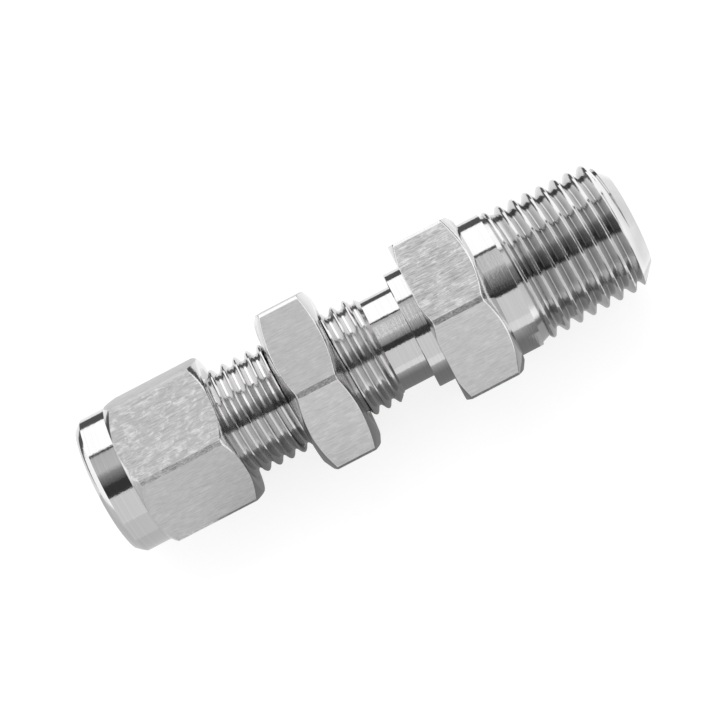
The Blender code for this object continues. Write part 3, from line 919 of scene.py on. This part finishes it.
# %% Floor and world
def seen_rays(tree):
    """1 for rays from the camera, in reflections and through glass, and 0 for light."""
    path = node(tree, "LightPath")
    total = path.outputs["Is Camera Ray"]
    for name in ("Is Glossy Ray", "Is Transmission Ray"):
        total = math_node(tree, "MAXIMUM", total, path.outputs[name])
    return total


FLOOR_COLOUR = 0.32
FLOOR_LIFT = 0.78
WORLD_LIGHT = 0.85
TABLE_SIZE = 6

table_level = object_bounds()[0].z
deselect()
bpy.ops.mesh.primitive_plane_add(size=TABLE_SIZE, location=(0, 0, table_level))
floor = bpy.context.object
floor.name = "floor"
bpy.ops.object.transform_apply(location=True, rotation=True, scale=True)
white_table = bpy.data.materials.new("white_table")
white_table.use_nodes = True
tree = white_table.node_tree
shader = tree.nodes["Principled BSDF"]
shader.inputs["Base Color"].default_value = (FLOOR_COLOUR,) * 3 + (1,)
shader.inputs["Roughness"].default_value = 0.9
shader.inputs["Specular IOR Level"].default_value = 0.0
shader.inputs["Emission Color"].default_value = (1, 1, 1, 1)
tree.links.new(math_node(tree, "MULTIPLY", seen_rays(tree), FLOOR_LIFT),
               shader.inputs["Emission Strength"])
floor.data.materials.append(white_table)

world = bpy.data.worlds.new("studio")
bpy.context.scene.world = world
world.use_nodes = True
tree = world.node_tree
strength = remap(tree, seen_rays(tree), WORLD_LIGHT, 1.0, 0.0, 1.0)
tree.nodes["Background"].inputs["Color"].default_value = (1, 1, 1, 1)
tree.links.new(strength, tree.nodes["Background"].inputs["Strength"])
print("table at", round(table_level / MM, 2), "mm")

# %% [markdown]
# ## What the steel reflects
# Bright metal shows its surroundings, so most of its look is the room. A photographer puts
# cards round such a thing, and so do the next cells. Each long card spans some angles round
# the fitting: a white wall behind, a grey ceiling that darkens towards the camera, a dark flag
# round the camera, and a pale card in front. Only reflections see them, so they cast neither
# light nor shadow on the table.


# %% A card that glows for reflections only
def glowing(made, width, strength, end_strength):
    """An even glow, or one graded across the card where an end strength is given."""
    bpy.ops.object.transform_apply(location=False, rotation=False, scale=True)
    material = bpy.data.materials.new(made.name)
    material.use_nodes = True
    tree = material.node_tree
    tree.nodes.clear()
    glow = node(tree, "Emission", Strength=strength)
    output = node(tree, "OutputMaterial")
    tree.links.new(glow.outputs["Emission"], output.inputs["Surface"])
    if end_strength is not None:
        split = node(tree, "SeparateXYZ")
        tree.links.new(node(tree, "TexCoord").outputs["Object"], split.inputs["Vector"])
        ramp = remap(tree, split.outputs["Y"], strength, end_strength, -width / 2, width / 2)
        tree.links.new(ramp, glow.inputs["Strength"])
    made.data.materials.append(material)
    made.visible_camera = False
    made.visible_diffuse = False
    made.visible_shadow = False
    made.visible_transmission = False
    made.visible_volume_scatter = False


WHOLE_LENGTH = (-1.5, 1.5)


def card(name, first, last, distance, strength, end_strength=None, along=WHOLE_LENGTH):
    """A long card across a span of degrees, counted up from level behind the fitting."""
    middle, half = math.radians((first + last) / 2), math.radians((last - first) / 2)
    width = 2 * distance * math.tan(half)
    deselect()
    bpy.ops.mesh.primitive_plane_add(
        size=1, location=(sum(along) / 2, distance * math.cos(middle),
                          distance * math.sin(middle)),
        rotation=(middle + math.pi / 2, 0, 0))
    made = bpy.context.object
    made.name = name
    made.scale = (along[1] - along[0], width, 1)
    glowing(made, width, strength, end_strength)


# %% The cards from the wall behind, over the fitting, to the front
CARD_DISTANCE = 0.6
RIGHT_END = (0.046, 1.5)

card("white_wall", 0, 57, CARD_DISTANCE, 1.65)
card("wall_frame", 57, 62, CARD_DISTANCE, 0.08)
card("grey_ceiling", 62, 90, CARD_DISTANCE, 0.68, 0.74)
card("ceiling_edge", 90, 98, CARD_DISTANCE, 0.74, 0.35)
card("lens_shade", 98, 114, CARD_DISTANCE, 0.35, 0.1)
card("dark_flag", 114, 134, CARD_DISTANCE, 0.05)
card("pale_front_card", 134, 180, CARD_DISTANCE, 0.92)

# %% [markdown]
# Four shorter cards hang a little nearer and cover the long ones where a part of the fitting
# shows something brighter or darker than its neighbours do.

# %% Shorter cards over single parts
card("ceiling_over_thread", 64, 114, 0.57, 1.6, 1.75, (-0.09, -0.025))
card("ceiling_over_pipe", 62, 97, 0.59, 1.0, 0.95, RIGHT_END)
card("right_of_lens", 97, 134, 0.59, 0.28, 0.12, RIGHT_END)
card("middle_of_ceiling", 94, 119, 0.58, 0.9, 0.3, (-0.085, 0.025))

# %% [markdown]
# The lower half of a round face reflects the table. There it would show the table's white, so
# mats lie on it, dark close to the fitting and brighter towards both ends. The dark ones in front
# of and under the fitting are painted shadow: they stand in for the fitting's shadow on the
# table, as the steel reflects it. They too are seen only in reflections, and the camera still
# sees a plain white table.

# %% Mats on the table, with painted shadow near the fitting
MAT_HEIGHT = 0.1 * MM
UNDER_THREAD = (-0.02, -0.002)
UNDER_HEXAGON = (-0.002, 0.0155)
UNDER_PIPE = (0.0155, 0.028)
LEFT_END = (-0.25, -0.02)


def mat(name, near, far, strength, far_strength=None, along=WHOLE_LENGTH):
    """A card on the table, from near to far in mm across the fitting."""
    near, far = near * MM, far * MM
    depth = abs(far - near)
    deselect()
    bpy.ops.mesh.primitive_plane_add(
        size=1, location=(sum(along) / 2, (near + far) / 2, table_level + MAT_HEIGHT))
    made = bpy.context.object
    made.name = name
    made.scale = (along[1] - along[0], depth, 1)
    glowing(made, depth, strength, far_strength)


mat("mat_behind", 27, 200, 0.12, along=(-1.5, 0.056))
mat("bright_mat_behind", 27, 200, 1.5, along=(0.056, 1.5))
mat("mat_far_behind", 200, 580, 1.65)
# The dark mats in front of and under the fitting are painted shadow of the fitting on the table,
# seen in reflections.
mat("painted_shadow_under_thread", -38, -16, 0.3, 0.18, along=UNDER_THREAD)
mat("painted_shadow_in_front", -38, -16, 0.62, 0.25, along=UNDER_HEXAGON)
mat("painted_shadow_under_pipe", -38, -16, 0.3, 0.22, along=UNDER_PIPE)
mat("painted_shadow_below", -16, 3, 0.24, along=(-0.02, 0.015))
mat("painted_shadow_below_pipe", -16, 3, 0.52, along=(0.015, 0.028))
mat("mat_left", -400, -16, 0.8, along=LEFT_END)
mat("painted_shadow_left_below", -16, 3, 0.7, along=LEFT_END)
mat("bright_mat", -80, 27, 1.5, along=(0.031, 0.4))

# %% [markdown]
# The nose and the pipe end look along the fitting, where no long card stands. The white world
# alone would reach them, so a card brighter than the world stands beyond each end.

# %% White cards facing both ends
END_CARD_SIZE = 1.2
END_CARD_HEIGHT = 0.3


def end_card(name, along, strength):
    """An upright card across the fitting's axis."""
    deselect()
    bpy.ops.mesh.primitive_plane_add(size=END_CARD_SIZE, location=(along, 0, END_CARD_HEIGHT),
                                     rotation=(0, math.pi / 2, 0))
    made = bpy.context.object
    made.name = name
    glowing(made, END_CARD_SIZE, strength, None)
    print(name, "at", along, "m")


end_card("left_card", -0.85, 1.5)
end_card("right_card", 0.85, 1.9)

# %% [markdown]
# ## Lamp and camera
# The world's light comes evenly from all sides. One soft lamp above and behind adds a direction
# to the faint shadow on the table. Reflections don't see it, because the cards do that part.

# %% A soft lamp above and behind
LAMP_BEHIND = 0.35
LAMP_HEIGHT = 0.6

deselect()
bpy.ops.object.light_add(type="AREA", location=(0, LAMP_BEHIND, LAMP_HEIGHT),
                         rotation=(-math.atan2(LAMP_BEHIND, LAMP_HEIGHT), 0, 0))
lamp = bpy.context.object
lamp.data.shape = "RECTANGLE"
lamp.data.size = 0.8
lamp.data.size_y = 0.4
lamp.data.energy = 0.8
lamp.visible_glossy = False
print("lamp of", lamp.data.size, "by", lamp.data.size_y, "m")

# %% [markdown]
# The camera stands close and looks down steeply, and it is rolled, so that the fitting lies
# across the picture from lower left to upper right. Euler angles could say the same, but three
# directions are easier to think in: forward, right and up.

# %% The camera, rolled about its line of sight
from mathutils import Matrix, Vector

VIEW_ELEVATION = math.radians(62.1)
CAMERA_DISTANCE = 194 * MM
CAMERA_ROLL = math.radians(27.45)
CAMERA_OFFSET = 5.3 * MM
AIM_OFFSET = -0.76 * MM
AIM_DROP = 0.2 * MM

toward_camera = Vector((0, -math.cos(VIEW_ELEVATION), math.sin(VIEW_ELEVATION)))
image_up = Vector((0, math.sin(VIEW_ELEVATION), math.cos(VIEW_ELEVATION)))
camera_place = Vector((CAMERA_OFFSET, 0, 0)) + toward_camera * CAMERA_DISTANCE
aim = Vector((AIM_OFFSET, 0, 0)) - image_up * AIM_DROP

forward = (aim - camera_place).normalized()
level = Vector((1, 0, 0))
level = (level - forward * level.dot(forward)).normalized()
upright = level.cross(forward)
right = level * math.cos(CAMERA_ROLL) - upright * math.sin(CAMERA_ROLL)
up = level * math.sin(CAMERA_ROLL) + upright * math.cos(CAMERA_ROLL)
camera_data = bpy.data.cameras.new("camera")
camera_data.lens = 104
camera_data.sensor_width = 36
camera_data.clip_start = 0.01
camera = bpy.data.objects.new("camera", camera_data)
bpy.context.scene.collection.objects.link(camera)
turn = Matrix((right, up, -forward)).transposed().to_4x4()
camera.matrix_world = Matrix.Translation(camera_place) @ turn
bpy.context.scene.camera = camera
bpy.context.scene.view_settings.view_transform = "Standard"
print("camera at", [round(value / MM, 1) for value in camera_place], "mm")
